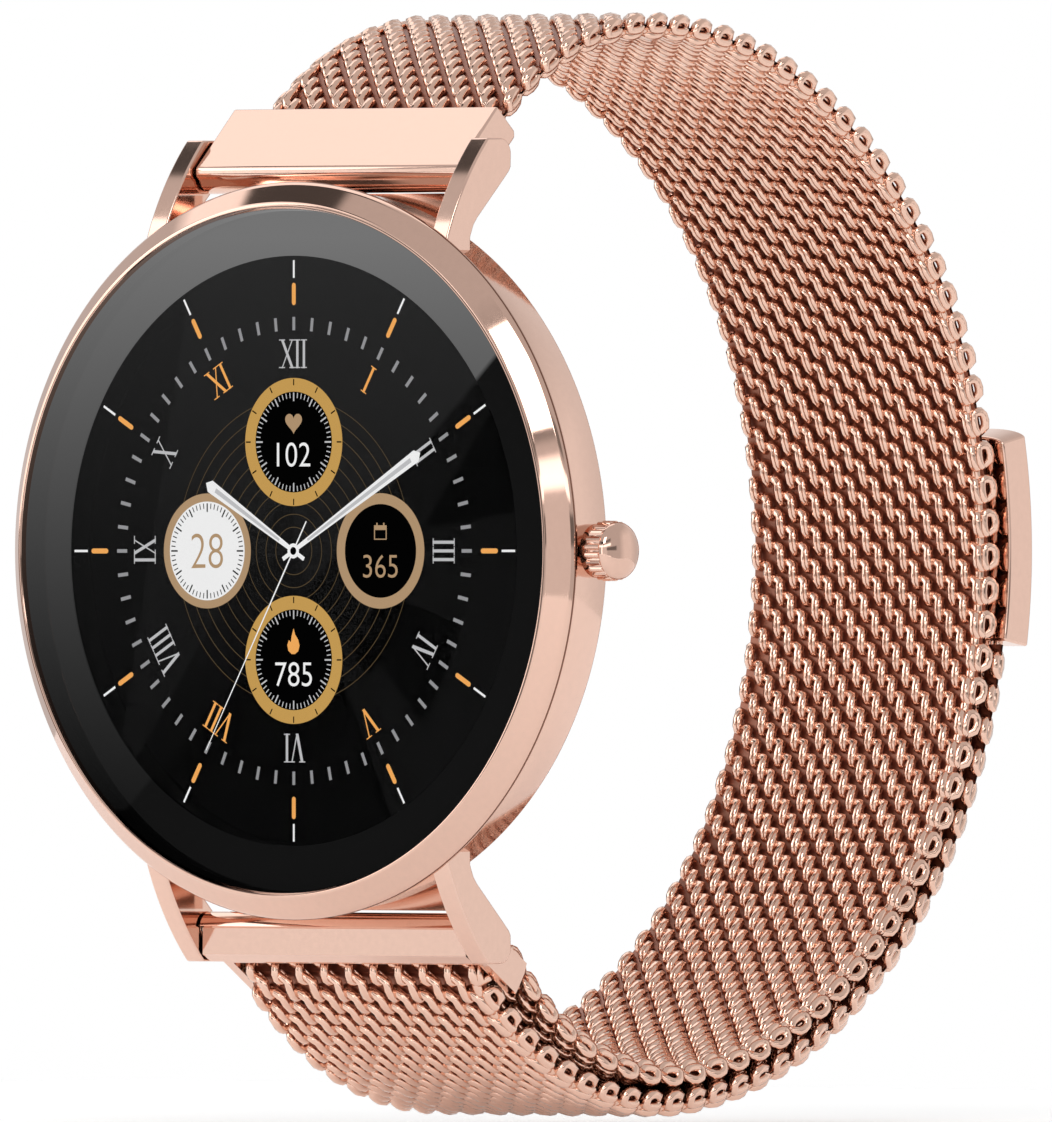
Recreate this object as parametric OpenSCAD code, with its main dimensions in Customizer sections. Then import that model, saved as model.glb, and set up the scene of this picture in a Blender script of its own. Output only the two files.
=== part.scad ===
// Round smartwatch on an interlinked-mesh loop band, closed as it is worn.
// Frame: +X is 3 o'clock and the crown, -Y is the way the dial faces, +Z is 12 o'clock.
// Origin: centre of the flat sensor face on the case back, where the charger seats.
// A "depth" is measured backwards from the front of the glass.

/* [Case] */
// Diameter of the middle case
case_d = 40; // [36:0.5:46]
// Thickness from the front of the glass to the sensor face
case_t = 8.6; // [8:0.1:12]
// Straight height of the middle case's side
side_h = 3.06; // [2.8:0.1:4.5]
// How far the bezel stands out past the middle case all round
bezel_lip = 0.5; // [0.2:0.1:1]
// Height of the bezel's sloping ring
bezel_h = 1.4; // [1.2:0.1:1.8]
// Thickness of the cover glass
glass_t = 1.1; // [0.8:0.1:1.1]
// Sloping bezel's width, seen from the front
bezel_w = 1.4; // [1:0.1:2]
// Black border between the glass edge and the screen's active area
border_w = 2.65; // [2:0.1:4]
// Wall of the middle case
case_wall = 3.0; // [2.8:0.1:4]
// Depth of the sensor bump behind the case back
bump_h = 1.6; // [1.2:0.1:1.8]
// Radius of the optical sensor's window
window_r = 6; // [4:0.5:7]

/* [Lugs and spring bars] */
// Gap between two lugs
lug_gap = 19.6; // [16:0.5:22]
// Thickness of a lug
lug_t = 1.25; // [1.2:0.1:2]
// Depth of the spring bars' axes behind the glass
bar_depth = 5.3; // [5:0.1:5.8]
// Distance of the spring bars' axes from the middle case's edge
bar_out = 1.05; // [1:0.05:1.6]
// Radius of a spring bar's tube
bar_r = 0.6; // [0.5:0.05:0.7]
// Radius of a spring bar's tips
tip_r = 0.4; // [0.3:0.05:0.45]

/* [Band] */
// Width of the mesh
mesh_w = 17.8; // [14:0.1:18.2]
// Thickness of the mesh
mesh_t = 1.35; // [1.1:0.05:1.4]
// How much larger the closed loop's radius is than the case's
loop_over_case = 9.3; // [8.5:0.1:12]
// Depth of the loop's centre behind the glass
loop_depth = 22; // [21:0.5:26]
// Gap between the two layers of mesh
layer_gap = 0.27; // [0.27:0.01:0.6]
// Radius of the bend over the top end link
top_bend_r = 18.8; // [18:0.1:20]
// Radius of the inner layer's bend towards the bottom end link
inner_bend_r = 17.2; // [16:0.1:19]
// How much wider the outer layer's bend is than the inner one's
bend_step = 4.3; // [3.6:0.1:5]
// Radius of the fold round the slot bar, at the middle of the mesh
fold_r = 1.5; // [1.45:0.05:1.6]
// Radius of the slot bar
slot_bar_r = 0.6; // [0.5:0.05:0.65]
// Length of the top link from its spring bar to its free edge
top_link_l = 4.1; // [4:0.1:4.5]
// Half of the top link's thickness
top_link_h = 1.15; // [1.1:0.05:1.2]
// Half of the bottom link's thickness
bottom_link_h = 0.95; // [0.9:0.05:1.1]
// Thickness of the end walls of the links
link_wall = 0.65; // [0.5:0.05:0.9]

/* [Clasp] */
// Length of the magnetic clasp round the loop, in degrees
clasp_angle = 22; // [16:1:28]
// Angle of the clasp's lower end, seen from the loop's centre
clasp_from = -9.6; // [-16:0.1:-6]
// Width of the clasp
clasp_w = 18.6; // [17:0.1:19.5]
// Thickness of the clasp
clasp_t = 2.05; // [1.9:0.05:2.6]

/* [Crown] */
// Depth of the crown's axis behind the glass
crown_depth = 3.0; // [2.9:0.1:3.4]
// Radius of the crown
crown_r = 1.67; // [1.5:0.05:1.7]
// How far the crown moves in when it is pressed
crown_travel = 0.35; // [0.2:0.05:0.4]
// Number of ridges round the crown
crown_ridges = 22; // [14:2:30]
// Radius of the crown's stem
stem_r = 0.6; // [0.5:0.05:0.65]

/* [Inside] */
// Width of the battery
battery_w = 21; // [16:0.5:21]
// Height of the battery
battery_h = 14; // [10:0.5:14]
// Thickness of the battery
battery_t = 2.9; // [2:0.1:2.9]
// Thickness of the main board
board_t = 0.7; // [0.6:0.1:0.9]
// Radius of the vibration motor
motor_r = 2.5; // [2.5:0.1:3.2]

/* [Hidden] */

$fn = 96;
fit = 0.05;
gap = 0.1;
eps = 0.01;
rose = "#e0b8a0";
dark = "#303034";
steel = "#b8b8bc";

// Radii of the stack, from the case outwards and inwards
case_r = case_d / 2;
bezel_r = case_r + bezel_lip;
glass_r = bezel_r - bezel_w - fit;
screen_r = glass_r - border_w;
bore_r = case_r - case_wall;
skirt_r = bezel_r - 1.5;
shelf_r = glass_r - 1.15;
side_end = bezel_h + side_h;
back_front = case_t - bump_h - 0.7;
back_r = bore_r + 1.4;
screw_r = 0.25;
screw_head_r = 0.42;
screw_l = 2;
skirt_end = bezel_h + 1.2;

// Depths of the screen's layers and of what lies under them
mask_t = 0.1;
mask_end = glass_t + mask_t;
panel_t = 0.9;
panel_end = mask_end + panel_t;
frame_front = max(panel_end, skirt_end) + 0.05;
frame_t = 0.4;
stack_front = frame_front + frame_t + fit;
spigot_front = back_front - 0.8;
frame_notch = bore_r - 1.6;

// Spring bars and lugs
bar_z = case_r + bar_out;
lug_in = lug_gap / 2;
lug_tip_r = 0.87;
tip_reach = 0.9;
bar_half = lug_in - 0.35;

// Band
band_turn = 45;
top_pin = [3.3, -0.45];
link_half = lug_in - 0.15;
link_in = link_half - link_wall;
bottom_turn = 33.6;
slot_bar_u = 4.4;
bottom_link_l = slot_bar_u + 0.55;
slot_from = slot_bar_u - fold_r - mesh_t / 2 - 0.17;
loop_r = case_r + loop_over_case;
outer_r = loop_r + mesh_t + layer_gap;
outer_bend_r = inner_bend_r + bend_step;
loop_y = dy(loop_depth);
loop_c = [loop_y, 0];
top_c = [loop_y, loop_r - top_bend_r];
slot_c = [dy(bar_depth) + slot_bar_u * cos(bottom_turn), -bar_z - slot_bar_u * sin(bottom_turn)];
inner_c = meet(loop_c, loop_r - inner_bend_r, slot_c, inner_bend_r + fold_r);
outer_c = meet(loop_c, outer_r - outer_bend_r, slot_c, outer_bend_r - fold_r);
inner_join = bearing(loop_c, inner_c);
inner_end = bearing(inner_c, slot_c);
outer_join = bearing(loop_c, outer_c);
outer_end = bearing(outer_c, slot_c);
fold_from = bearing(slot_c, inner_c);
fold_to = bearing(outer_c, slot_c) + 360;
flex_l = 8;
top_flex = flex_l / top_bend_r * 180 / PI;
inner_flex = flex_l / inner_bend_r * 180 / PI;
outer_flex = flex_l / outer_bend_r * 180 / PI;

// Hinge lines of the peeling tail, as angles round the loop
tail_hinges = [-66, -47, -28];
hinge_r = mesh_t / 2 + 0.04;
clasp_to = clasp_from + clasp_angle;
clasp_in = loop_r + 0.95;
clasp_out = clasp_in + clasp_t;
pin_r = 0.3;
pin_angle = clasp_from + 1.45;
tail_end = pin_angle - arc_deg(pin_r + fit, outer_r);

// Crown
tube_r = 1.5;
tube_out = 0.55;
sleeve_r = stem_r + 0.4;
crown_in = case_r + tube_out + crown_travel + gap;
ridge_l = 1.0;
cap_l = 0.6;
switch_x = bore_r - 1.6;

function dy(depth) = depth - case_t;
function arc_deg(length, radius) = length / radius * 180 / PI;
function bearing(from, to) = atan2(to[1] - from[1], to[0] - from[0]);
function on_circle(c, r, a) = c + r * [cos(a), sin(a)];
// Centre that is r1 from c1 and r2 from c2, on the side towards the back of the band
function meet(c1, r1, c2, r2) =
    let (span = norm(c2 - c1), ux = (c2 - c1) / span,
         along = (r1 * r1 - r2 * r2 + span * span) / (2 * span),
         off = sqrt(r1 * r1 - along * along))
    c1 + along * ux + off * [-ux[1], ux[0]];

// A profile of radius and depth, turned about the watch's axis
module turned() {
    rotate([-90, 0, 0]) rotate_extrude() children();
}

// A disc or ring about the watch's axis, between two depths
module disc(outer, from, to, inner = 0) {
    turned() translate([inner, dy(from)]) square([outer - inner, to - from]);
}

// A profile in the Y-Z plane, drawn out along X about the middle
module drawn(width) {
    rotate([90, 0, 90]) linear_extrude(height = width, center = true) children();
}

// A round bar along X at a place in the Y-Z plane
module bar(place, radius, width) {
    translate([0, place[0], place[1]]) rotate([0, 90, 0]) cylinder(r = radius, h = width, center = true);
}

// A strip of band bent round a centre, between two angles
module strip(centre, radius, from, to, thick = mesh_t, width = mesh_w) {
    translate([0, centre[0], centre[1]]) rotate([90, 0, 90]) rotate([0, 0, from])
        rotate_extrude(angle = to - from, $fn = 180)
            translate([radius - thick / 2, -width / 2]) square([thick, width]);
}

// A link's own frame: u runs along the link from its spring bar, w points outwards
module link_frame(turn) {
    translate([0, dy(bar_depth), bar_z]) rotate([turn, 0, 0]) children();
}

module at_both_ends() {
    children();
    mirror([1, 0, 0]) children();
}

/* Screen and glass */

module cover_glass() {
    edge = 0.12;
    color([0.1, 0.1, 0.12, 0.4]) turned() polygon([
        [0, dy(0)], [glass_r - edge, dy(0)], [glass_r, dy(edge)], [glass_r, dy(glass_t)], [0, dy(glass_t)]]);
}

module glass_mask() {
    color("black") disc(shelf_r - fit, glass_t, mask_end, screen_r);
}

module optical_adhesive() {
    color([0.8, 0.85, 0.9, 0.5]) disc(screen_r - fit, glass_t, mask_end);
}

module display_panel() {
    color(dark) disc(screen_r + 0.2, mask_end, panel_end);
}

// Flat cable from the back of the panel, round the frame's edge, to the main board
module display_flex() {
    width = 6;
    thick = 0.15;
    edge = frame_notch + 0.6;
    board = stack_front + 0.25;
    color("#c87a30") translate([0, -case_t, 0]) drawn(width) polygon([
        [panel_end, edge - 4], [panel_end, edge], [board, edge], [board, edge - 1.5],
        [board - thick, edge - 1.5], [board - thick, edge - thick],
        [panel_end + thick, edge - thick], [panel_end + thick, edge - 4]]);
}

module glass_gasket() {
    color("#202020") disc(glass_r - 0.15, glass_t, mask_end, shelf_r);
}

/* Case */

module bezel_ring() {
    rim = glass_r + fit;
    color(rose) difference() {
        turned() polygon([
            [rim, dy(0)], [rim + 0.1, dy(0)], [bezel_r, dy(bezel_h - 0.1)], [bezel_r, dy(bezel_h)],
            [skirt_r, dy(bezel_h)], [skirt_r, dy(skirt_end)], [shelf_r, dy(skirt_end)],
            [shelf_r, dy(mask_end)], [rim, dy(mask_end)]]);
        crown_line() cylinder(r = tube_r + fit, h = skirt_r + 0.1);
    }
}

// Outline of a lug, seen from the side: a curved front, a flat tip with a round shoulder, a slanting back
module lug_outline() {
    front_c = [bar_depth + 11.95, bar_z - 9.79];
    front = [for (a = [159.8 : -2.3 : 136.8]) on_circle(front_c, 17, a)];
    shoulder = [for (a = [90 : -15 : 0]) on_circle([bar_depth + 0.7, bar_z + 1.85 - lug_tip_r], lug_tip_r, a)];
    back = [[1.55, 0.25], [1.0, -0.4], [-1.3, -2.6], [-1.9, -3.65]];
    root = bar_z - 6.4;
    translate([-case_t, 0]) polygon(concat([[bezel_h + 0.1, root]], front, shoulder,
        [for (p = back) [bar_depth + p[0], bar_z + p[1]]], [[bar_depth - 1.9, root]]));
}

module lug() {
    translate([lug_in + lug_t / 2, 0, 0]) drawn(lug_t) lug_outline();
}

module middle_case() {
    chamfer_r = case_r - 1.0;
    neck = back_front - 0.8;
    color(rose) difference() {
        union() {
            turned() polygon([
                [skirt_r + fit, dy(bezel_h)], [case_r, dy(bezel_h)], [case_r, dy(side_end)],
                [chamfer_r, dy(neck)], [back_r, dy(back_front)], [bore_r, dy(back_front)],
                [bore_r, dy(skirt_end + fit)], [skirt_r + fit, dy(skirt_end + fit)]]);
            for (z = [0, 1]) mirror([0, 0, z]) at_both_ends() difference() {
                lug();
                disc(case_r - 1, -1, case_t);
                disc(bezel_r + fit, -1, bezel_h + fit);
            }
        }
        for (z = [-1, 1])
            bar([dy(bar_depth), z * bar_z], tip_r + fit, lug_gap + 2 * (tip_reach + fit));
        crown_line() cylinder(r = tube_r, h = case_r + 2);
        for (a = [45 : 90 : 315]) screw_place(a) translate([0, 0, -screw_l - fit]) cylinder(r = screw_r + fit, h = 4);
    }
}

module inner_frame() {
    window = battery_w / 2 + 1;
    color("#383c44") difference() {
        disc(bore_r - gap, frame_front, stack_front - fit);
        translate([-window, dy(0), -battery_h + 2]) cube([2 * window, case_t, battery_h - 4]);
        translate([-4, dy(0), frame_notch]) cube([8, case_t, 4]);
        crown_line() translate([0, 0, switch_x - 2]) cylinder(r = tube_r + 0.6, h = 6);
    }
}

module case_back() {
    bump_r = window_r + 6.5;
    color("#c9a592") difference() {
        turned() polygon([
            [0, dy(spigot_front + 0.6)], [bore_r - 0.9, dy(spigot_front + 0.6)],
            [bore_r - 0.9, dy(spigot_front)], [bore_r - fit, dy(spigot_front)], [bore_r - fit, dy(back_front)],
            [back_r, dy(back_front)], [back_r - 0.6, dy(back_front + 0.7)],
            [bump_r + 1, dy(back_front + 0.7)], [bump_r, dy(case_t)], [0, dy(case_t)]]);
        disc(window_r + fit, case_t - 0.8, case_t + 1);
        disc(window_r - 1, 0, case_t);
        turned() translate([bore_r - fit, dy(back_front - 0.4)]) circle(r = 0.3, $fn = 24);
        for (x = [-1, 1]) pad_place(x) translate([0, 0, -1]) cylinder(r = 1.1 + fit, h = 3);
        for (x = [-1, 1]) pad_place(x) translate([0, 0, -3]) cylinder(r = 0.5 + fit, h = 5);
        for (a = [45 : 90 : 315]) screw_place(a) {
            translate([0, 0, -3]) cylinder(r = screw_r + fit, h = 6);
            translate([0, 0, 0.3]) cylinder(r = screw_head_r + fit, h = 2);
        }
    }
}

// Frame of one charging pad: z runs out of the case back
module pad_place(side) {
    translate([side * 3.2, dy(case_t), -window_r - 2.6]) rotate([-90, 0, 0]) children();
}

// Frame of one case-back screw: z runs out of the case back from its flange
module screw_place(angle) {
    r = bore_r + 0.45;
    translate([r * cos(angle), dy(back_front), r * sin(angle)]) rotate([-90, 0, 0]) children();
}

module back_gasket() {
    color("#1c1c1c") turned() translate([bore_r - 0.15 - fit, dy(back_front - 0.4)]) circle(r = 0.14, $fn = 24);
}

module back_screws() {
    color(steel) for (a = [45 : 90 : 315]) screw_place(a) difference() {
        union() {
            translate([0, 0, -screw_l]) cylinder(r = screw_r, h = screw_l + 0.4, $fn = 32);
            translate([0, 0, 0.3 + fit]) cylinder(r = screw_head_r, h = 0.32, $fn = 32);
        }
        translate([-0.9, -0.1, 0.5]) cube([1.8, 0.2, 0.3]);
    }
}

module charge_pads() {
    color("gold") for (x = [-1, 1]) pad_place(x) {
        translate([0, 0, -0.95]) cylinder(r = 1.1, h = 0.95, $fn = 48);
        translate([0, 0, -2]) cylinder(r = 0.5, h = 1.1, $fn = 32);
    }
}

module charge_magnets() {
    color("#8a8a90") for (x = [-1, 1])
        translate([x * (window_r + 2.5), dy(spigot_front + 0.6) - 0.72, 0]) rotate([-90, 0, 0])
            cylinder(r = 1.5, h = 0.7, $fn = 48);
}

/* Electronics */

module main_board() {
    color("#1d5a3a") difference() {
        disc(bore_r - 0.6, stack_front + 0.3, stack_front + 0.3 + board_t);
        translate([-case_r, dy(0), -case_r]) cube([case_d, case_t, case_r + 3]);
    }
}

module board_chips() {
    top = dy(stack_front + 0.3 + board_t);
    color("#25262a") for (c = [[-3, 8, 6, 1.1], [5.2, 7.6, 4, 0.9], [-9.3, 6, 2.8, 0.8], [1.4, 4.5, 2, 0.6]])
        translate([c[0] - c[2] / 2, top, c[1] - c[2] / 2]) cube([c[2], c[3], c[2]]);
}

module battery() {
    corner = 1;
    top = 2;
    color("#5a6068") translate([0, dy(stack_front), top - battery_h / 2]) rotate([-90, 0, 0])
        linear_extrude(height = min(battery_t, spigot_front - stack_front - 0.2)) difference() {
            square([battery_w, battery_h], center = true);
            for (x = [-1, 1], y = [-1, 1])
                translate([x * (battery_w / 2 - corner), y * (battery_h / 2 - corner)]) difference() {
                    translate([x * corner / 2, y * corner / 2]) square(corner + eps, center = true);
                    circle(r = corner, $fn = 32);
                }
        }
}

module vibration_motor() {
    color(steel) translate([10.4, dy(stack_front + 0.3 + board_t) + fit, 8.6]) rotate([-90, 0, 0])
        cylinder(r = motor_r, h = 1.4, $fn = 64);
}

module antenna() {
    color("#c0a060") rotate([90, 0, 0]) translate([0, 0, -dy(stack_front)]) rotate([0, 0, 190])
        translate([0, 0, -0.3]) rotate_extrude(angle = 55) translate([bore_r - 0.9, 0]) square([0.6, 0.3]);
}

module sensor_board() {
    color("#1d5a3a") disc(window_r + 0.6, spigot_front - 0.15, spigot_front + 0.25);
}

module sensor_leds() {
    front = dy(spigot_front + 0.25);
    color("#e8e8d0") {
        translate([-0.6, front, -0.6]) cube([1.2, 0.6, 1.2]);
        for (a = [0 : 90 : 270]) rotate([0, a, 0]) translate([2.2, front, -0.9]) cube([1.4, 0.5, 1.8]);
    }
}

module sensor_window() {
    color([0.05, 0.05, 0.06]) union() {
        disc(window_r, case_t - 0.75, case_t);
        disc(window_r - 1 - fit, case_t - 1.0, case_t - 0.7);
    }
}

/* Crown */

// Frame of the crown: z runs outwards along +X from the watch's middle
module crown_line() {
    translate([0, dy(crown_depth), 0]) rotate([0, 90, 0]) children();
}

module crown_tube() {
    color(rose) crown_line() difference() {
        translate([0, 0, bore_r]) cylinder(r = tube_r, h = case_wall + tube_out);
        translate([0, 0, bore_r - 1]) cylinder(r = sleeve_r + fit, h = case_wall + 3);
    }
}

// Sleeve that slides in the tube and carries the turning stem
module crown_sleeve() {
    color(steel) crown_line() difference() {
        translate([0, 0, bore_r + fit]) cylinder(r = sleeve_r, h = case_wall + tube_out - 0.2);
        translate([0, 0, bore_r - 1]) cylinder(r = stem_r + fit, h = case_wall + 3);
        translate([0, 0, bore_r + 0.9]) rotate_extrude() translate([sleeve_r, 0]) circle(r = 0.25, $fn = 24);
    }
}

module crown_gasket() {
    color("#1c1c1c") crown_line() translate([0, 0, bore_r + 0.9])
        rotate_extrude() translate([sleeve_r - 0.1, 0]) circle(r = 0.13, $fn = 24);
}

module crown_stem() {
    color(steel) crown_line() {
        translate([0, 0, switch_x + 0.75]) cylinder(r = stem_r, h = crown_in - switch_x - 0.75 + 0.5, $fn = 48);
        translate([0, 0, bore_r - 0.4]) cylinder(r = stem_r + 0.15, h = 0.4, $fn = 48);
    }
}

module crown() {
    groove = 0.12;
    cap = crown_r - 0.07;
    dome = (cap * cap + cap_l * cap_l) / (2 * cap_l);
    color(rose) crown_line() translate([0, 0, crown_in]) difference() {
        union() {
            cylinder(r = crown_r, h = ridge_l);
            cylinder(r = cap - 0.1, h = ridge_l + 0.12);
            translate([0, 0, ridge_l + 0.1]) cylinder(r = cap, h = 0.12);
            intersection() {
                translate([0, 0, ridge_l + 0.2 + cap_l - dome]) sphere(r = dome);
                translate([0, 0, ridge_l + 0.2]) cylinder(r = cap, h = cap_l + eps);
            }
        }
        for (i = [0 : crown_ridges - 1]) rotate([0, 0, i * 360 / crown_ridges])
            translate([crown_r + 0.03, 0, -eps]) cylinder(r = groove, h = ridge_l - 0.1, $fn = 16);
        translate([0, 0, -eps]) cylinder(r = stem_r + 0.01, h = 0.52, $fn = 48);
    }
}

module crown_switch() {
    color("#d8d8dc") crown_line() {
        translate([-1.6, -0.8, switch_x - 1.4]) cube([3.2, 1.6, 1.4]);
        translate([0, 0, switch_x - eps]) cylinder(r = 0.55, h = 0.3, $fn = 32);
    }
}

/* Spring bars */

// One spring bar's tube, bored through
module bar_tube(z) {
    color(steel) difference() {
        bar([dy(bar_depth), z], bar_r, 2 * bar_half);
        bar([dy(bar_depth), z], tip_r + 0.03, 2 * bar_half + 1);
    }
}

// The two tips of one spring bar, each with its collar between the tube and the lug
module bar_tips(z) {
    color(steel) at_both_ends() {
        translate([(lug_in + tip_reach + bar_half - 3) / 2, 0, 0])
            bar([dy(bar_depth), z], tip_r, lug_in + tip_reach - bar_half + 3);
        translate([(bar_half + lug_in) / 2, 0, 0])
            bar([dy(bar_depth), z], bar_r, lug_in - bar_half - 0.1);
    }
}

module top_bar_tube() { bar_tube(bar_z); }
module top_bar_tips() { bar_tips(bar_z); }
module bottom_bar_tube() { bar_tube(-bar_z); }
module bottom_bar_tips() { bar_tips(-bar_z); }

// Coil spring along X, swept as a ring of six points round a helix
module coil(length, radius, wire, turns) {
    steps = 10;
    sides = 4;
    n = turns * steps;
    rings = [for (i = [0 : n]) let (a = i * 360 / steps, x = -length / 2 + i * length / n)
        [for (k = [0 : sides - 1]) let (q = k * 360 / sides, r = radius + wire * cos(q))
            [x + wire * sin(q), r * cos(a), r * sin(a)]]];
    polyhedron(points = [for (ring = rings) each ring], faces = concat(
        [[for (k = [sides - 1 : -1 : 0]) k]],
        [for (i = [0 : n - 1], k = [0 : sides - 1]) let (m = (k + 1) % sides, j = i * sides)
            each [[j + k, j + m, j + sides + m], [j + k, j + sides + m, j + sides + k]]],
        [[for (k = [0 : sides - 1]) n * sides + k]]));
}

module bar_springs() {
    length = 2 * (bar_half - 3.1);
    color("#90909a") for (z = [-1, 1]) translate([0, dy(bar_depth), z * bar_z])
        coil(length, tip_r - 0.1, 0.08, 8);
}

/* Links */

// Outline of the top link in its own frame: a round barrel and a square outer front corner
module top_link_outline() {
    h = top_link_h;
    circle(r = h);
    polygon([[0, -h], [top_link_l - 0.25, -h], [top_link_l, -h + 0.3], [top_link_l - 0.1, h],
        [-0.75, h], [-1.05, h - 0.3], [-1.05, 0.35], [0, 0]]);
}

module top_link() {
    color(rose) link_frame(band_turn) difference() {
        drawn(2 * link_half) top_link_outline();
        bar([0, 0], bar_r + fit, 2 * link_half + 1);
        translate([-link_in, top_pin[0] - 0.75, -top_link_h - 1])
            cube([2 * link_in, 3, 1 + top_link_h + top_pin[1] + mesh_t / 2 + gap]);
        bar(top_pin, pin_r + 0.02, 2 * link_half - 0.5);
    }
}

module top_mesh_pin() {
    color(steel) link_frame(band_turn) bar(top_pin, pin_r, 2 * link_half - 0.6);
}

module bottom_link_outline() {
    h = bottom_link_h;
    circle(r = h);
    translate([0, -h]) square([bottom_link_l - 0.3, 2 * h]);
    polygon([[0, -h], [bottom_link_l - 0.15, -h], [bottom_link_l, -h + 0.6], [bottom_link_l, h], [1.5, h],
        [1.02, h + 0.59], [0.22, h + 0.64], [-0.58, 0.35], [0, 0]]);
}

module bottom_link() {
    h = bottom_link_h;
    color(rose) mirror([0, 0, 1]) link_frame(bottom_turn) difference() {
        drawn(2 * link_half) bottom_link_outline();
        bar([0, 0], bar_r + fit, 2 * link_half + 1);
        translate([-link_in, slot_from, -h - 1]) cube([2 * link_in, bottom_link_l, 2 * h + 2]);
        bar([slot_bar_u, 0], 0.37, 2 * link_half + 1);
    }
}

module slot_bar() {
    color(steel) mirror([0, 0, 1]) link_frame(bottom_turn) union() {
        bar([slot_bar_u, 0], slot_bar_r, 2 * link_in - 0.1);
        bar([slot_bar_u, 0], 0.35, 2 * link_half - 0.1);
    }
}

/* Band */

module mesh_colour() {
    color("#c98f78") children();
}

module band_top_flex() {
    lead_in = arc_deg(0.5, top_bend_r);
    mesh_colour() strip(top_c, top_bend_r, 90 + band_turn - top_flex, 90 + band_turn + lead_in);
}
module band_top() {
    mesh_colour() strip(top_c, top_bend_r, 90, 90 + band_turn - top_flex);
}
module band_upper() {
    mesh_colour() strip(loop_c, loop_r, 45, 90);
}
module band_rear_upper() {
    mesh_colour() strip(loop_c, loop_r, 0, 45);
}
module band_rear_lower() {
    mesh_colour() strip(loop_c, loop_r, -45, 0);
}
module band_lower() {
    mesh_colour() strip(loop_c, loop_r, inner_join, -45);
}
module band_inner() {
    mesh_colour() strip(inner_c, inner_bend_r, inner_end + inner_flex, inner_join);
}
module band_inner_flex() {
    mesh_colour() strip(inner_c, inner_bend_r, inner_end + arc_deg(gap, inner_bend_r), inner_end + inner_flex);
}
module band_fold() {
    mesh_colour() strip(slot_c, fold_r, fold_from, fold_to);
}
module band_outer_flex() {
    mesh_colour() strip(outer_c, outer_bend_r, outer_end + arc_deg(gap, outer_bend_r), outer_end + outer_flex);
}

// Place of a tail hinge's line
function hinge_at(i) = on_circle(loop_c, outer_r, tail_hinges[i]);

// The hollow a barrel turns in, with the band cleared away beyond it
module barrel_hollow(i) {
    bar(hinge_at(i), hinge_r + fit, mesh_w + 1);
    strip(loop_c, outer_r, tail_hinges[i] - 0.25, tail_hinges[i] + 5, mesh_t + 1, mesh_w + 1);
}

module band_outer_front() {
    mesh_colour() strip(outer_c, outer_bend_r, outer_end + outer_flex, outer_join);
}

module band_outer() {
    mesh_colour() difference() {
        strip(loop_c, outer_r, outer_join, tail_hinges[0]);
        barrel_hollow(0);
    }
}

// One rigid length of the tail: a barrel at its hinge, hollowed for the next one's barrel
module tail_length(i, to) {
    mesh_colour() difference() {
        union() {
            strip(loop_c, outer_r, tail_hinges[i], to);
            bar(hinge_at(i), hinge_r, mesh_w - 0.2);
        }
        if (i < len(tail_hinges) - 1) barrel_hollow(i + 1);
    }
}

module tail_1() { tail_length(0, tail_hinges[1]); }
module tail_2() { tail_length(1, tail_hinges[2]); }
module tail_3() { tail_length(2, tail_end); }

/* Clasp */

module clasp_shell() {
    middle = (clasp_in + clasp_out) / 2;
    pocket = clasp_t - 0.55;
    color(rose) difference() {
        strip(loop_c, middle, clasp_from, clasp_to, clasp_t, clasp_w);
        strip(loop_c, clasp_in + pocket / 2 - eps, clasp_from + 3.2, clasp_to - 1.5, pocket, clasp_w - 2);
        strip(loop_c, outer_r, clasp_from - 1, pin_angle + 0.7, 2 * (outer_r - clasp_in) + 0.1, mesh_w + 0.2);
        bar(on_circle(loop_c, outer_r, pin_angle), pin_r + 0.02, mesh_w + 0.5);
    }
}
module clasp_base() {
    color(rose) strip(loop_c, clasp_in + 0.25, clasp_from + 3.4, clasp_to - 1.7, 0.4, clasp_w - 2.2);
}
module clasp_magnet() {
    color("#70727a")
        strip(loop_c, clasp_in + 0.95, clasp_from + 5, clasp_to - 3.5, clasp_t - 1.2, clasp_w - 5);
}
module clasp_pin() {
    color(steel) bar(on_circle(loop_c, outer_r, pin_angle), pin_r, mesh_w + 0.4);
}

cover_glass();
glass_mask();
optical_adhesive();
display_panel();
display_flex();
glass_gasket();
bezel_ring();
middle_case();
inner_frame();
main_board();
board_chips();
battery();
vibration_motor();
antenna();
sensor_board();
sensor_leds();
sensor_window();
case_back();
back_gasket();
back_screws();
charge_pads();
charge_magnets();
crown_tube();
crown_gasket();
crown_switch();
crown_sleeve();
crown_stem();
crown();
top_bar_tube();
top_bar_tips();
bottom_bar_tube();
bottom_bar_tips();
bar_springs();
top_link();
top_mesh_pin();
bottom_link();
slot_bar();
band_top_flex();
band_top();
band_upper();
band_rear_upper();
band_rear_lower();
band_lower();
band_inner();
band_inner_flex();
band_fold();
band_outer_flex();
band_outer_front();
band_outer();
tail_1();
tail_2();
tail_3();
clasp_shell();
clasp_base();
clasp_magnet();
clasp_pin();
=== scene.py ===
# %% [markdown]
# # A round smartwatch on a woven metal band
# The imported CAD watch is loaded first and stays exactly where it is. Every piece made below is placed in the
# same frame: X runs to the wearer's crown side, Y runs from the glass to the wrist, Z runs up the dial.
# Work is done with one Blender unit as one millimetre and each finished piece is scaled down once at the end.

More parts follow.
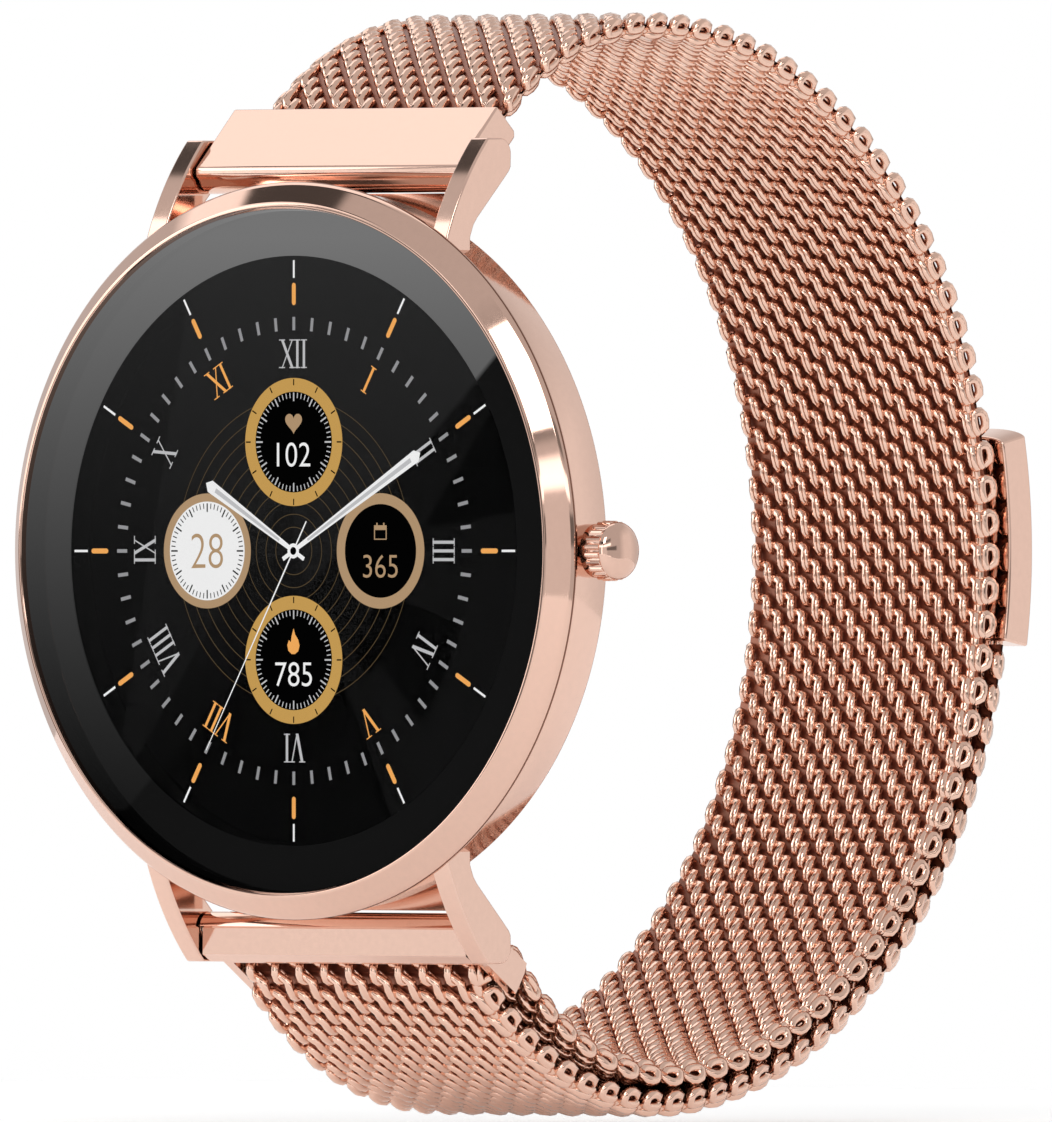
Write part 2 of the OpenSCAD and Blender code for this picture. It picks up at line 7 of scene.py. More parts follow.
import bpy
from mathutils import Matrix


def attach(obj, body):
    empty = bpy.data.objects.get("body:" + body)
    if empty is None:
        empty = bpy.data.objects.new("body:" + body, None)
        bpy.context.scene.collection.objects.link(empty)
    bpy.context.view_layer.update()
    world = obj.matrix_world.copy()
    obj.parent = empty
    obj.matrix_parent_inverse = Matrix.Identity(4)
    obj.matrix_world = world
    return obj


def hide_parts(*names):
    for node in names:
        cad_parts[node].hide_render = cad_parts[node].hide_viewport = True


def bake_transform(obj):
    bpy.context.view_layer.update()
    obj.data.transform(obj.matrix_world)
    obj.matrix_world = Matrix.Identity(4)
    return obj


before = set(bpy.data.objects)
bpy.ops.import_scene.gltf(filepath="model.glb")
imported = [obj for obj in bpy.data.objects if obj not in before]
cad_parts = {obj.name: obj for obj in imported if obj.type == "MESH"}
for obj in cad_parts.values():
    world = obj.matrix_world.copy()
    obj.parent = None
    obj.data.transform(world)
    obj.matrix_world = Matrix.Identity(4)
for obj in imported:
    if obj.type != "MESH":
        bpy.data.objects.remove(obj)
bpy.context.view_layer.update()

from math import atan2, cos, degrees, hypot, pi, radians, sin, sqrt

import bpy
from mathutils import Matrix, Vector

# %% [markdown]
# ## Sizes
# These repeat the CAD's own driving sizes, in millimetres, so that the pieces made here land on the CAD.
# A depth is measured back from the front of the glass; `dy` turns it into a Y coordinate.

# %% Sizes of the watch
CASE_T = 8.6
CASE_R = 20.0
BEZEL_R = 20.5
BEZEL_H = 1.4
GLASS_R = 19.05
SCREEN_R = 16.4
LUG_IN = 9.8
LUG_T = 1.25
BAR_DEPTH = 5.3
BAR_Z = 21.05
MESH_HALF = 8.6
ROW = 0.956
WIRE = 0.29
LOOP_Y = 13.4
LOOP_R = 29.3
OUTER_R = 30.92
CLASP_FROM, CLASP_TO = -9.6, 12.4


def dy(depth):
    return depth - CASE_T


print("case", 2 * CASE_R, "mm across,", CASE_T, "mm thick")

# %% [markdown]
# ## Modelling helpers
# A profile starts as a plane merged to one vertex, which is then extruded from point to point. A turned piece
# is that profile spun about the dial's axis; a drawn piece is a closed profile filled and extruded along X.

# %% Helpers for profiles, turned pieces and drawn pieces
def clear():
    bpy.ops.object.select_all(action="DESELECT")


def only(*objs):
    clear()
    for o in objs:
        o.select_set(True)
    bpy.context.view_layer.objects.active = objs[0]


def chain(name, points):
    """A line of vertices joined by edges, left in edit mode."""
    clear()
    bpy.ops.mesh.primitive_plane_add(size=1)
    obj = bpy.context.object
    obj.name = name
    bpy.ops.object.mode_set(mode="EDIT")
    bpy.ops.mesh.select_all(action="SELECT")
    bpy.ops.mesh.merge(type="CENTER")
    bpy.ops.transform.translate(value=points[0])
    here = Vector(points[0])
    for p in points[1:]:
        step = Vector(p) - here
        bpy.ops.mesh.extrude_region_move(TRANSFORM_OT_translate={"value": step})
        here = Vector(p)
    bpy.ops.mesh.select_all(action="SELECT")
    return obj


def tidy(obj, angle=30, merge=0.0005):
    bpy.ops.mesh.select_all(action="SELECT")
    bpy.ops.mesh.remove_doubles(threshold=merge)
    bpy.ops.mesh.normals_make_consistent(inside=False)
    bpy.ops.object.mode_set(mode="OBJECT")
    only(obj)
    bpy.ops.object.shade_smooth_by_angle(angle=radians(angle))
    return obj


def turned(name, profile, steps=192):
    """A closed profile of (radius, depth) points spun about the dial's axis."""
    points = [(r, dy(d), 0) for r, d in profile]
    obj = chain(name, points + points[:1])
    bpy.ops.mesh.spin(steps=steps, angle=2 * pi, center=(0, 0, 0), axis=(0, 1, 0))
    return tidy(obj)


def drawn(name, outline, x0, x1):
    """Closed outline of (y, z) points, filled and extruded from x0 to x1."""
    obj = chain(name, [(x0, y, z) for y, z in outline] + [(x0, *outline[0])])
    bpy.ops.mesh.remove_doubles(threshold=0.0005)
    bpy.ops.mesh.edge_face_add()
    bpy.ops.mesh.extrude_region_move(TRANSFORM_OT_translate={"value": (x1 - x0, 0, 0)})
    return tidy(obj)


def modify(obj, kind, **settings):
    only(obj)
    mod = obj.modifiers.new(kind.title(), kind)
    for key, value in settings.items():
        setattr(mod, key, value)
    bpy.ops.object.modifier_apply(modifier=mod.name)


def bevel(obj, width, segments=3, angle=30):
    modify(obj, "BEVEL", width=width, segments=segments, limit_method="ANGLE",
           angle_limit=radians(angle), use_clamp_overlap=True, harden_normals=False)
    only(obj)
    bpy.ops.object.shade_smooth_by_angle(angle=radians(35))


def cut(obj, *cutters):
    for c in cutters:
        modify(obj, "BOOLEAN", object=c, operation="DIFFERENCE", solver="EXACT")
        only(c)
        bpy.ops.object.delete()
    only(obj)
    bpy.ops.object.shade_smooth_by_angle(angle=radians(30))


def block(size, place, turn=0.0):
    """A box of that size about a place, turned about X."""
    clear()
    bpy.ops.mesh.primitive_cube_add(size=1, location=place, rotation=(turn, 0, 0))
    bpy.ops.transform.resize(value=size, orient_type="LOCAL")
    bpy.ops.object.transform_apply(location=True, rotation=True, scale=True)
    return bpy.context.object


def rod(radius, place, length, axis="X", sides=48):
    clear()
    turn = {"X": (0, pi / 2, 0), "Y": (pi / 2, 0, 0)}[axis]
    bpy.ops.mesh.primitive_cylinder_add(vertices=sides, radius=radius, depth=length,
                                        location=place, rotation=turn)
    bpy.ops.object.transform_apply(location=True, rotation=True, scale=True)
    return bpy.context.object


def copy_of(obj, matrix=None):
    new = obj.copy()
    new.data = obj.data.copy()
    bpy.context.collection.objects.link(new)
    if matrix:
        new.data.transform(matrix)
        if matrix.determinant() < 0:
            new.data.flip_normals()
    return new


def joined(name, objs):
    only(*objs)
    if len(objs) > 1:
        bpy.ops.object.join()
    objs[0].name = name
    objs[0].data.name = name
    return objs[0]


def arc(centre, radius, start, end, count):
    """Points (y, z) along an arc given in degrees."""
    return [(centre[0] + radius * cos(radians(start + (end - start) * i / count)),
             centre[1] + radius * sin(radians(start + (end - start) * i / count))) for i in range(count + 1)]


def bearing(a, b):
    return degrees(atan2(b[1] - a[1], b[0] - a[0]))


def report(*objs):
    for o in objs:
        print(f"{o.name}: {len(o.data.polygons)} faces")


# %% [markdown]
# ## Finishes
# `Field` wraps a node's output so that patterns read as arithmetic. `finish` makes one material: a Principled
# shader whose colour, roughness and bump may each be given a Field. Patterns use object coordinates in metres.

# %% Material helpers
class Field:
    def __init__(self, tree, socket):
        self.tree, self.socket = tree, socket

    def math(self, operation, a, b=0.0):
        node = self.tree.nodes.new("ShaderNodeMath")
        node.operation = operation
        for i, value in enumerate((a, b)):
            if isinstance(value, Field):
                self.tree.links.new(value.socket, node.inputs[i])
            else:
                node.inputs[i].default_value = value
        return Field(self.tree, node.outputs[0])

    def __add__(self, other):
        return self.math("ADD", self, other)

    def __radd__(self, other):
        return self.math("ADD", other, self)

    def __sub__(self, other):
        return self.math("SUBTRACT", self, other)

    def __rsub__(self, other):
        return self.math("SUBTRACT", other, self)

    def __mul__(self, other):
        return self.math("MULTIPLY", self, other)

    def __rmul__(self, other):
        return self.math("MULTIPLY", other, self)

    def __truediv__(self, other):
        return self.math("DIVIDE", self, other)

    def __rtruediv__(self, other):
        return self.math("DIVIDE", other, self)

    def clamp(self):
        return self.math("MINIMUM", self.math("MAXIMUM", self, 0.0), 1.0)

    def mix(self, a, b):
        """Colour a where this is 0 and b where it is 1."""
        node = self.tree.nodes.new("ShaderNodeMix")
        node.data_type = "RGBA"
        self.tree.links.new(self.socket, node.inputs["Factor"])
        node.inputs[6].default_value = (*a, 1)
        node.inputs[7].default_value = (*b, 1)
        return Field(self.tree, node.outputs[2])


def srgb(r, g, b):
    """Linear colour of a screen colour whose channels run to 255."""
    return tuple(c / 12.92 if c <= 0.04045 else ((c + 0.055) / 1.055) ** 2.4
                 for c in (r / 255, g / 255, b / 255))


def place_field(tree, scale=(1, 1, 1)):
    coords = tree.nodes.new("ShaderNodeTexCoord")
    mapping = tree.nodes.new("ShaderNodeMapping")
    mapping.inputs["Scale"].default_value = scale
    tree.links.new(coords.outputs["Object"], mapping.inputs["Vector"])
    return mapping.outputs["Vector"]


def noise(tree, scale, stretch=(1, 1, 1), detail=2.0):
    node = tree.nodes.new("ShaderNodeTexNoise")
    node.inputs["Scale"].default_value = scale
    node.inputs["Detail"].default_value = detail
    tree.links.new(place_field(tree, stretch), node.inputs["Vector"])
    return Field(tree, node.outputs[0])


def bump(tree, height, strength, distance):
    node = tree.nodes.new("ShaderNodeBump")
    node.inputs["Strength"].default_value = strength
    node.inputs["Distance"].default_value = distance
    tree.links.new(height.socket, node.inputs["Height"])
    return Field(tree, node.outputs[0])


def finish(name, pattern=None, **sockets):
    """One material. Plain values go straight on the shader; pattern(tree) returns the sockets that vary."""
    mat = bpy.data.materials.new(name)
    mat.use_nodes = True
    shader = mat.node_tree.nodes["Principled BSDF"]
    varying = pattern(mat.node_tree) if pattern else {}
    for key, value in {**sockets, **varying}.items():
        socket = shader.inputs[key.replace("_", " ")]
        if isinstance(value, Field):
            mat.node_tree.links.new(value.socket, socket)
        else:
            socket.default_value = (*value, 1) if isinstance(value, tuple) and len(value) == 3 else value
    return mat


def metal(name, colour, roughness, spread=0.06, grain=2500, depth=0.0):
    """A metal with slightly uneven polish and, if asked, a fine grain."""
    def pattern(tree):
        cloud = noise(tree, grain)
        darker, lighter = tuple(c * 0.96 for c in colour), tuple(min(c * 1.03, 1) for c in colour)
        parts = {"Roughness": roughness + (cloud - 0.5) * spread,
                 "Base Color": cloud.clamp().mix(darker, lighter)}
        if depth:
            parts["Normal"] = bump(tree, noise(tree, grain * 4, detail=0), 0.3, depth)
        return parts
    return finish(name, pattern, Metallic=1.0)


def plain(name, colour, roughness=0.5, vary=0.15, grain=900, **more):
    """A matt material with a slow change of tone and roughness."""
    def pattern(tree):
        cloud = noise(tree, grain)
        return {"Base Color": cloud.clamp().mix(tuple(c * (1 - vary) for c in colour),
                                                tuple(min(c * (1 + vary), 1) for c in colour)),
                "Roughness": roughness + (cloud - 0.5) * 0.1}
    return finish(name, pattern, **more)


def painted_reflection(grey):
    """A painted reflection set in the emission colour: strongest at the top, fading down the left, cut off by a
    slanting edge.
    """
    def pattern(tree):
        split = tree.nodes.new("ShaderNodeSeparateXYZ")
        tree.links.new(place_field(tree, (1000, 1000, 1000)), split.inputs[0])
        x, z = Field(tree, split.outputs[0]), Field(tree, split.outputs[2])
        lit_side = (0.53 + z * 0.027).clamp()
        edge = ((z * 0.73 - x * 0.68 + 2.2) / 0.3 + 0.5).clamp()
        return {"Emission Color": (lit_side * lit_side * edge).mix((0.0, 0.0, 0.0), (grey, grey, grey))}
    return pattern


print("material helpers ready")

# %% [markdown]
# The rose gold comes as a satin, a polished and a wire finish. The rest are the inner parts' finishes.

# %% Finishes
ROSE = (0.83, 0.56, 0.455)
FINISH = {
    "rose_gold_satin": metal("rose_gold_satin", ROSE, 0.1, spread=0.04),
    "rose_gold_polished": metal("rose_gold_polished", (0.77, 0.51, 0.41), 0.06, spread=0.02),
    "mesh_wire": metal("mesh_wire", (0.86, 0.57, 0.45), 0.1, grain=1500),
    "case_back_metal": metal("case_back_metal", (0.78, 0.55, 0.45), 0.34, depth=0.00001),
    "steel": metal("steel", (0.72, 0.71, 0.69), 0.25),
    "gold_contact": metal("gold_contact", (0.95, 0.7, 0.3), 0.22),
    "magnet": metal("magnet", (0.35, 0.35, 0.37), 0.4),
    "cell_foil": metal("cell_foil", (0.6, 0.62, 0.65), 0.45, depth=0.00002),
    "cover_glass": finish("cover_glass", Base_Color=(0, 0, 0), Roughness=0.03, Alpha=0.02,
                          Specular_IOR_Level=0.0),
    "clear_adhesive": finish("clear_adhesive", Base_Color=(0, 0, 0), Roughness=0.5, Alpha=0.01,
                             Specular_IOR_Level=0.0),
    # The black print and the screen carry a painted reflection in their emission colour, grey at the top and
    # fading away down the left.
    "black_print": finish("black_print", painted_reflection(0.17), Base_Color=(0.002, 0.002, 0.002), Emission_Strength=1.0,
                          Roughness=0.05, Specular_IOR_Level=0.05),
    "screen": finish("screen", painted_reflection(0.018), Base_Color=(0.001, 0.001, 0.001), Emission_Strength=1.0,
                     Roughness=0.05, Specular_IOR_Level=0.05),
    "flex_film": plain("flex_film", srgb(190, 110, 40), 0.4),
    "seal_rubber": plain("seal_rubber", (0.012, 0.012, 0.012), 0.7),
    "frame_plastic": plain("frame_plastic", (0.03, 0.032, 0.036), 0.55),
    "circuit_board": plain("circuit_board", srgb(24, 84, 56), 0.4),
    "chip_black": plain("chip_black", (0.015, 0.015, 0.017), 0.35),
    "led_resin": plain("led_resin", srgb(226, 222, 190), 0.3),
    "sensor_black": plain("sensor_black", (0.004, 0.004, 0.005), 0.06, Coat_Weight=0.5),
    "switch_plastic": plain("switch_plastic", srgb(206, 206, 210), 0.45),
}
print(len(FINISH), "finishes")

# %% [markdown]
# `done` brings a finished piece down to metres, gives it the finish of its slot, hides the CAD nodes it stands
# for and parents it to the body it rides; a piece given a blend is instead fixed where it stands.

# %% Handing a piece over
MM = 0.001
PIECES = []


def done(obj, slot, body, *nodes, material=None, blend=None):
    only(obj)
    obj.data.transform(Matrix.Scale(MM, 4))
    obj.matrix_world = Matrix.Identity(4)
    obj.data.materials.clear()
    obj.data.materials.append(material or FINISH[slot])
    if nodes:
        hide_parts(*nodes)
    if blend:
        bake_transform(obj)
    else:
        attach(obj, body)
    PIECES.append(obj)
    report(obj)
    return obj


print("ready to model")

# %% [markdown]
# ## Glass, border and screen
# The glass is a slab with a fine rounded edge. Behind it a black printed ring frames the lit screen and is
# carried up round the glass's own edge. The ring also carries a painted reflection in its emission colour.

# %% Glass and black border
glass_edge = [(GLASS_R - 0.3 + 0.3 * sin(a), 0.3 - 0.3 * cos(a)) for a in (0, 0.4, 0.8, 1.2, 1.5708)]
glass = turned("glass", [(0, 0), (GLASS_R - 0.9, 0)] + glass_edge + [(GLASS_R, 1.1), (0, 1.1)])
done(glass, "cover_glass", "case", "cover_glass")

border = turned("glass_border", [(SCREEN_R, 1.08), (18.9, 1.08), (18.96, 0.3), (19.01, 0.34), (19.01, 1.1),
                                 (17.85, 1.1), (17.85, 1.2), (SCREEN_R, 1.2)])
done(border, "black_print", "case", "glass_mask")

# %% [markdown]
# The dial is drawn with thin raised marks on the panel. Marks that repeat are made once, copied round the dial
# and joined. `mark` makes a flat rounded bar, `ring` a flat ring.

# %% Dial helpers
DIAL = dy(1.19)
LIT = {}


def lit(name, r, g, b, strength=1.0):
    if name not in LIT:
        colour = srgb(r, g, b)
        LIT[name] = finish(name, Base_Color=(0, 0, 0), Roughness=0.6, Emission_Color=colour,
                           Emission_Strength=strength, Specular_IOR_Level=0.0)
    return LIT[name]


WHITE = lit("lit_white", 240, 240, 240)
SILVER = lit("lit_silver", 190, 190, 192)
GREY = lit("lit_grey", 150, 150, 152)
ORANGE = lit("lit_orange", 240, 170, 92)
GOLD = lit("lit_gold", 196, 154, 84)
TAN = lit("lit_tan", 176, 146, 112)
FAINT = lit("lit_faint", 88, 74, 52)
BLACK = lit("lit_black", 3, 3, 3)


def at(angle, radius=0.0):
    """Place on the dial at a clock angle in degrees."""
    return Vector((radius * sin(radians(angle)), 0, radius * cos(radians(angle))))


def turn_to(angle):
    return Matrix.Rotation(radians(angle), 4, "Y")


def flat(name, outline, level=0.0):
    """A flat shape facing the front from (x, z) points."""
    obj = chain(name, [(x, DIAL - level, z) for x, z in outline])
    bpy.ops.mesh.edge_face_add()
    bpy.ops.mesh.normals_make_consistent(inside=False)
    bpy.ops.object.mode_set(mode="OBJECT")
    return obj


def mark(name, width, r0, r1, round_end=False, level=0.0):
    h = width / 2
    if not round_end:
        return flat(name, [(-h, r0), (h, r0), (h, r1), (-h, r1)], level)
    ends = [(h * cos(a), r1 - h + h * sin(a)) for a in (0, 0.6, 1.2, 1.9, 2.5, pi)]
    ends += [(h * cos(a), r0 + h + h * sin(a)) for a in (pi, 3.8, 4.4, 5.0, 5.7, 2 * pi)]
    return flat(name, ends, level)


def ring(name, inner, outer, centre=(0, 0, 0), level=0.0, steps=96):
    obj = chain(name, [(inner, DIAL - level, 0), (outer, DIAL - level, 0)])
    bpy.ops.mesh.spin(steps=steps, angle=2 * pi, center=(0, 0, 0), axis=(0, 1, 0))
    bpy.ops.mesh.remove_doubles(threshold=0.0005)
    bpy.ops.mesh.normals_make_consistent(inside=False)
    bpy.ops.object.mode_set(mode="OBJECT")
    obj.data.transform(Matrix.Translation(centre))
    return obj


def around(obj, angles, centre=Vector((0, 0, 0))):
    """Copies of a mark at clock angles about a centre, the first one moved as well."""
    made = [copy_of(obj, Matrix.Translation(centre) @ turn_to(a)) for a in angles[1:]]
    obj.data.transform(Matrix.Translation(centre) @ turn_to(angles[0]))
    return [obj] + made


def words(text, size, centre, stretch=1.0, bold=0.0):
    """Lettering turned into a mesh, centred on a place of the dial."""
    clear()
    bpy.ops.object.text_add()
    obj = bpy.context.object
    obj.data.body = text
    obj.data.size = size
    obj.data.offset = bold
    bpy.ops.object.convert(target="MESH")
    obj = bpy.context.object
    xs = [v.co.x for v in obj.data.vertices]
    ys = [v.co.y for v in obj.data.vertices]
    middle = Vector(((min(xs) + max(xs)) / 2, (min(ys) + max(ys)) / 2, 0))
    widened = Matrix.Diagonal((stretch, 1, 1, 1)) @ Matrix.Translation(-middle)
    place = Matrix.Translation(Vector(centre) + Vector((0, DIAL - 0.02, 0)))
    obj.data.transform(place @ Matrix.Rotation(pi / 2, 4, "X") @ widened)
    return obj


def dial_piece(name, parts, material):
    return done(joined(name, parts), "screen", "case", material=material)


print("dial helpers ready")

# %% [markdown]
# Screen panel, fine rings, ticks and numerals.

# %% Panel, ticks and numerals
# The panel's emission carries a faint painted reflection, strongest at the top and cut off by a slanting edge.
panel = turned("screen_panel", [(0, 1.2), (SCREEN_R + 0.2, 1.2), (SCREEN_R + 0.2, 2.1), (0, 2.1)], steps=96)
done(panel, "screen", "case", "display_panel")

hours, minutes = range(0, 360, 30), range(0, 360, 6)
dial_piece("dial_hour_ticks", around(mark("tick", 0.13, 15.17, 16.15), list(hours)), WHITE)
dial_piece("dial_orange_ticks", around(mark("tick", 0.28, 13.65, 14.9, True), list(hours)), ORANGE)
dial_piece("dial_minute_ticks", around(mark("tick", 0.2, 12.26, 13.0), list(minutes)), GREY)
fine_rings = [ring("fine_ring", 1.3 + 0.72 * i, 1.34 + 0.72 * i, level=0.002) for i in range(11)]
dial_piece("dial_fine_rings", fine_rings, FAINT)

STROKES = {"I": (0.48, [(0, 0, 0.17)], [0]), "V": (1.0, [(-0.38, 0, 0.19), (0.38, 0, 0.08)], [-0.38, 0.38]),
           "X": (1.0, [(-0.38, 0.38, 0.19), (0.38, -0.38, 0.08)], [-0.38, 0.38])}


def numeral(text, angle, radius=10.95, tall=0.8):
    """A roman numeral of thick and thin strokes with serifs, standing on the dial at a clock angle."""
    parts, x = [], -sum(STROKES[c][0] for c in text) / 2
    for c in text:
        advance, strokes, feet = STROKES[c]
        mid = x + advance / 2
        for top, bottom, width in strokes:
            t, b, w = mid + top, mid + bottom, width / 2
            parts.append(flat("stroke", [(t - w, tall), (b - w, -tall), (b + w, -tall), (t + w, tall)]))
        serifs = [(f, tall) for f in feet] + ([(f, -tall + 0.07) for f in feet] if c != "V" else [])
        for f, z in serifs:
            x0, x1 = mid + f - 0.22, mid + f + 0.22
            parts.append(flat("serif", [(x0, z), (x0, z - 0.06), (x1, z - 0.06), (x1, z)], 0.001))
        x += advance
    for part in parts:
        part.data.transform(turn_to(angle) @ Matrix.Translation((0, 0, radius)))
    return parts


NUMERALS = ["XII", "I", "II", "III", "IV", "V", "VI", "VII", "VIII", "IX", "X", "XI"]
silver, orange = [], []
for i, text in enumerate(NUMERALS):
    (orange if text in ("I", "V", "VII", "XI") else silver).extend(numeral(text, i * 30))
dial_piece("dial_numerals_silver", silver, SILVER)
dial_piece("dial_numerals_orange", orange, ORANGE)

# %% [markdown]
# Four small dials: two gold-ringed counters above and below, a white one on the left and a dark one on the
# right with a calendar sign. The signs are drawn from plain outlines and the numbers are generic.

# %% Small dials
def small_dial(name, centre, rim, face, rim_finish, face_finish, tick_finish, tick_in, tick_out):
    dial_piece(name + "_rim", [ring(name, face, rim, centre, level=0.006)], rim_finish)
    disc = [ring(name, 0, face, centre, level=0.006, steps=64)]
    dial_piece(name + "_face", disc, face_finish)
    if tick_finish:
        ticks = around(mark("tick", 0.06, tick_in, tick_out, level=0.012), list(minutes), centre)
        long = around(mark("tick", 0.09, tick_in - 0.18, tick_out, level=0.012), list(hours), centre)
        dial_piece(name + "_ticks", ticks + long, tick_finish)


up, down, left, right = at(0, 6.05), at(180, 6.05), at(270, 6.35), at(90, 6.35)
small_dial("dial_top", up, 3.56, 2.8, GOLD, BLACK, SILVER, 2.45, 2.75)
small_dial("dial_low", down, 3.56, 2.8, GOLD, BLACK, SILVER, 2.45, 2.75)
small_dial("dial_left", left, 3.2, 2.75, TAN, WHITE, BLACK, 2.35, 2.65)
small_dial("dial_right", right, 3.2, 2.6, TAN, BLACK, None, 0, 0)
dial_piece("dial_rim_marks", around(mark("tick", 0.08, 3.15, 3.5, level=0.012), list(hours), up)
           + around(mark("tick", 0.08, 3.15, 3.5, level=0.012), list(hours), down), BLACK)

heart = [(0.62 * sin(t) ** 3, (0.51 * cos(t) - 0.2 * cos(2 * t) - 0.08 * cos(3 * t) - 0.04 * cos(4 * t)))
         for t in [2 * pi * i / 32 for i in range(32)]]
flame = [(0, 0.75), (0.12, 0.4), (0.34, 0.12), (0.44, -0.22), (0.34, -0.52), (0.1, -0.68), (-0.14, -0.68),
         (-0.38, -0.5), (-0.46, -0.18), (-0.34, 0.1), (-0.2, -0.02), (-0.14, 0.34)]
dial_piece("dial_heart", [flat("heart", [(x, z + 7.15) for x, z in heart], 0.02)], TAN)
dial_piece("dial_flame", [flat("flame", [(x, z - 5.05) for x, z in flame], 0.02)], ORANGE)
boxes = [(-0.46, -0.4, 0.46, -0.34), (-0.46, 0.14, 0.46, 0.4), (-0.46, -0.34, -0.39, 0.14),
         (0.39, -0.34, 0.46, 0.14), (-0.3, 0.4, -0.2, 0.54), (0.2, 0.4, 0.3, 0.54)]
cal = [flat("cal", [(6.35 + x, 1.02 + z) for x, z in ((x0, z0), (x1, z0), (x1, z1), (x0, z1))], 0.02)
       for x0, z0, x1, z1 in boxes]
dial_piece("dial_calendar", cal, TAN)
dial_piece("dial_counts", [words("102", 1.95, at(0, 5.35), bold=-0.012),
                           words("785", 1.95, at(180, 6.85), bold=-0.012)], WHITE)
dial_piece("dial_date", [words("28", 2.85, left, stretch=0.9, bold=-0.035)], TAN)
dial_piece("dial_day", [words("365", 1.85, right + Vector((0, 0, -0.85)), bold=-0.012)], TAN)

# %% [markdown]
# The hands taper from the boss, with a dark slot down the middle, and the second hand is a thin line.

# %% Hands
def hand(name, angle, length, root, tip, level):
    shape = flat(name, [(-root, -0.9), (root, -0.9), (root, 0), (tip, length - 0.35), (0, length),
                        (-tip, length - 0.35), (-root, 0)], level)
    slot = flat(name, [(-0.07, 1.2), (0.07, 1.2), (0.13, length - 0.8), (-0.13, length - 0.8)], level + 0.004)
    for part, finish_name, suffix in ((shape, WHITE, ""), (slot, SILVER, "_slot")):
        part.data.transform(turn_to(angle))
        dial_piece(name + suffix, [part], finish_name)


hand("hand_hour", 300.5, 7.45, 0.12, 0.36, 0.03)
hand("hand_minute", 59.6, 10.75, 0.12, 0.36, 0.038)
second = flat("hand_second", [(-0.04, -1.9), (0.04, -1.9), (0.05, 0), (0.025, 12.8),
                              (-0.025, 12.8), (-0.05, 0)], 0.046)
second.data.transform(turn_to(210))
dial_piece("hand_second", [second, ring("boss", 0.22, 0.42, level=0.05, steps=32)], WHITE)
dial_piece("hand_boss", [ring("boss", 0, 0.22, level=0.05, steps=24)], BLACK)

# %% [markdown]
# ## Bezel and case
# The bezel carries a bright line round the glass and a flat cone outside it, with a fine dark ring of painted
# shade at its edge where it meets the case.

# %% Bezel
bezel = turned("bezel", [
    (GLASS_R + 0.05, 0.06), (GLASS_R + 0.08, 0.01), (GLASS_R + 0.14, 0), (GLASS_R + 0.26, 0.03),
    (GLASS_R + 0.32, 0.12), (GLASS_R + 0.35, 0.145), (BEZEL_R - 0.19, 0.91), (BEZEL_R - 0.16, 0.935),
    (BEZEL_R - 0.04, 1.08), (BEZEL_R, 1.26), (BEZEL_R, BEZEL_H), (19.05, BEZEL_H),
    (19.0, 2.6), (17.9, 2.6), (17.9, 1.2), (GLASS_R + 0.05, 1.2)], steps=256)
done(bezel, "rose_gold_polished", "case", "bezel_ring")
# A thin dark ring of painted shade stands for the shadow down in the seam between bezel and case.
seam_shade_ring = turned("bezel_seam_shade", [(20.3, 1.18), (20.49, 1.2), (20.51, 1.23), (20.51, 1.31), (20.3, 1.33)], steps=256)
done(seam_shade_ring, "rose_gold_polished", "case", material=metal("seam_shade", (0.2, 0.09, 0.06), 0.3))

# %% [markdown]
# The case is a turned barrel. One lug is outlined from the side, cut to the barrel, drilled for its spring bar
# and mirrored to the other three places. A shelf between each pair of lugs closes the view under the link.

# %% Case with lugs
barrel = turned("case_barrel", [
    (19.05, BEZEL_H), (CASE_R - 0.06, BEZEL_H), (CASE_R, 1.46), (CASE_R, 4.4), (CASE_R - 0.05, 4.52),
    (19.03, 5.44), (18.97, 5.54), (18.42, 6.24), (18.34, 6.3), (17, 6.3), (17, 2.65), (19.05, 2.65)], steps=256)


def lug_outline():
    """Seen from the side: a slightly bowed front, a flat tip with a round shoulder and a slanting back."""
    front = arc((BAR_DEPTH + 11.95, BAR_Z - 9.79), 17, 159.8, 136.8, 14)
    shoulder = arc((BAR_DEPTH + 0.7, BAR_Z + 0.98), 0.87, 90, 0, 8)
    heel = [(BAR_DEPTH + y, BAR_Z + z) for y, z in (
        (1.55, 0.25), (1.42, 0.02), (1.0, -0.4), (-1.3, -2.6), (-1.62, -3.0), (-1.9, -3.65))]
    root = BAR_Z - 6.4
    points = [(BEZEL_H + 0.1, root)] + front + shoulder + heel + [(BAR_DEPTH - 1.9, root)]
    return [(dy(y), z) for y, z in points]


lug = drawn("lug", lug_outline(), LUG_IN, LUG_IN + LUG_T)
cut(lug, rod(18.9, (0, dy(CASE_T / 2), 0), 2 * CASE_T, "Y", 256), rod(0.45, (LUG_IN, dy(BAR_DEPTH), BAR_Z), 2))
bevel(lug, 0.14, 3, 40)
lugs = [lug] + [copy_of(lug, Matrix.Diagonal((x, 1, z, 1))) for x, z in ((-1, 1), (1, -1), (-1, -1))]
SHELF_ROOT = 17.3
shelves = [block((17, 0.7, top - SHELF_ROOT), (0, dy(5.94), sign * (top + SHELF_ROOT) / 2))
           for sign, top in ((1, 19.85), (-1, 19.98))]
case = joined("case_middle", [barrel, *shelves, *lugs])
done(case, "rose_gold_satin", "case", "middle_case")

# %% [markdown]
# ## Crown
# One ridge is outlined and repeated round the crown; the cap is a turned dome on a small step.

